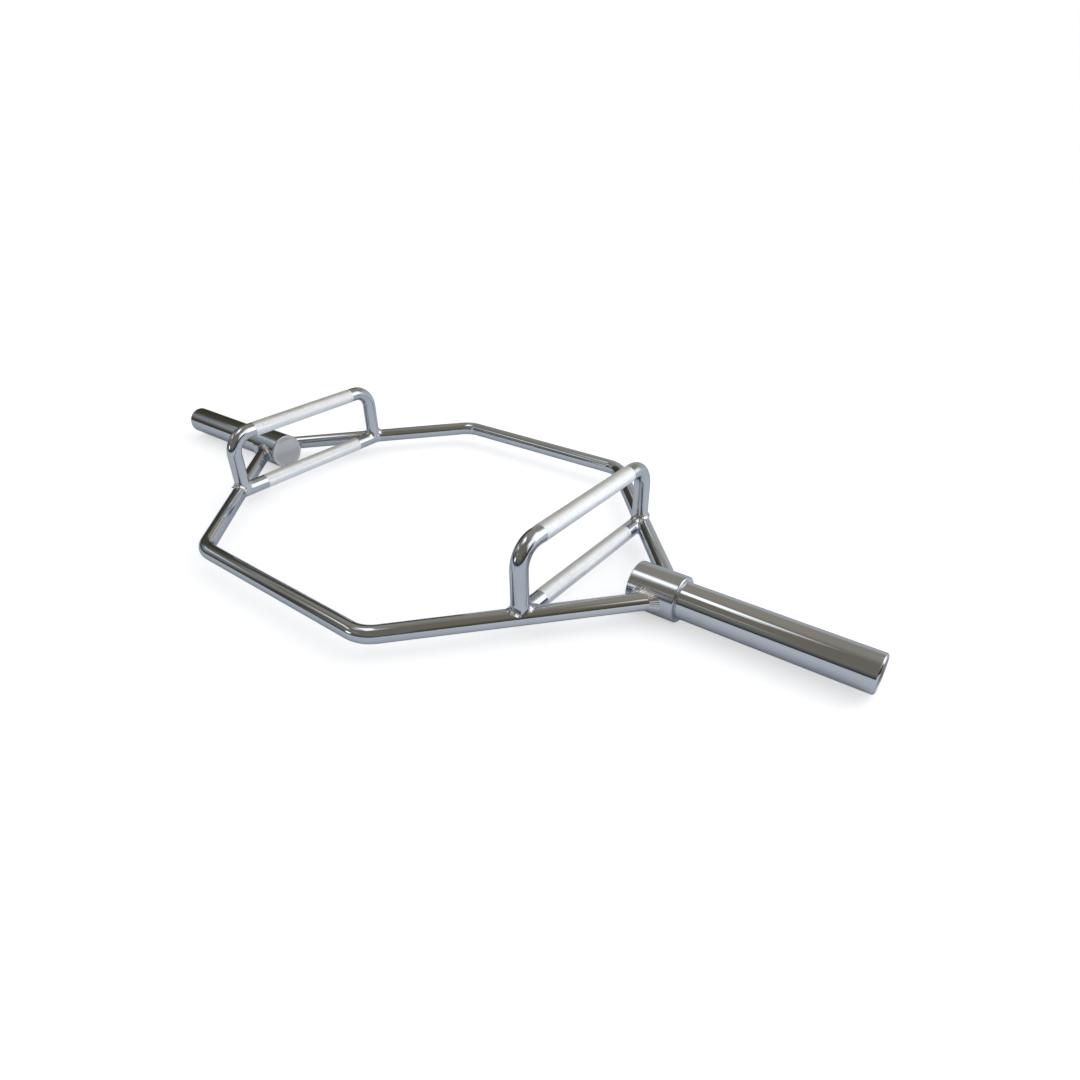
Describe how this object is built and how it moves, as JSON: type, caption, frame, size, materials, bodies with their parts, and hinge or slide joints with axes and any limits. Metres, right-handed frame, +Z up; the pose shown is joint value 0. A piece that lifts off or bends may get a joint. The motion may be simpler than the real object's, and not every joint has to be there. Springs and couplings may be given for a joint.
{
  "type": "hex trap bar",
  "caption": "Hexagonal chromed lifting frame of bent round bar with low and raised knurled handles and turning sleeves for weight plates.",
  "frame": {"origin": "under the middle of the hexagon, on the surface that the two hubs rest on", "axes": "+X along the sleeves, +Y to the rear across the hexagon, +Z up, towards the raised handles"},
  "size_m": [1.3904, 0.622, 0.1408],
  "materials": {
    "frame_chrome": "polished chrome plate on bent steel bar",
    "handle_chrome": "polished chrome with a knurled, satin grip",
    "hub_chrome": "polished chrome on turned steel",
    "sleeve_chrome": "polished chrome tube",
    "disc_steel": "satin faced, chromed",
    "spindle_steel": "ground steel, lightly oiled",
    "ring_steel": "dark spring steel",
    "bronze": "machined bearing bronze"
  },
  "bodies": {
    "frame": {"front_frame_bar": "frame_chrome", "rear_frame_bar": "frame_chrome", "right_low_handle": "handle_chrome", "right_high_handle": "handle_chrome", "right_hub": "hub_chrome", "right_hub_end_disc": "disc_steel", "right_spindle": "spindle_steel", "right_thrust_washer": "spindle_steel", "right_retaining_washer": "ring_steel", "right_retaining_ring": "ring_steel", "left_low_handle": "handle_chrome", "left_high_handle": "handle_chrome", "left_hub": "hub_chrome", "left_hub_end_disc": "disc_steel", "left_spindle": "spindle_steel", "left_thrust_washer": "spindle_steel", "left_retaining_washer": "ring_steel", "left_retaining_ring": "ring_steel"},
    "right_sleeve": {"right_sleeve": "sleeve_chrome", "right_inner_bush": "bronze", "right_outer_bush": "bronze"},
    "left_sleeve": {"left_sleeve": "sleeve_chrome", "left_inner_bush": "bronze", "left_outer_bush": "bronze"}
  },
  "joints": [
    {"name": "right_sleeve_spin", "type": "hinge", "parent": "frame", "child": "right_sleeve", "pos_m": [0.575, 0, 0.0315], "axis": [1, 0, 0], "continuous": true},
    {"name": "left_sleeve_spin", "type": "hinge", "parent": "frame", "child": "left_sleeve", "pos_m": [-0.575, 0, 0.0315], "axis": [1, 0, 0], "continuous": true}
  ]
}
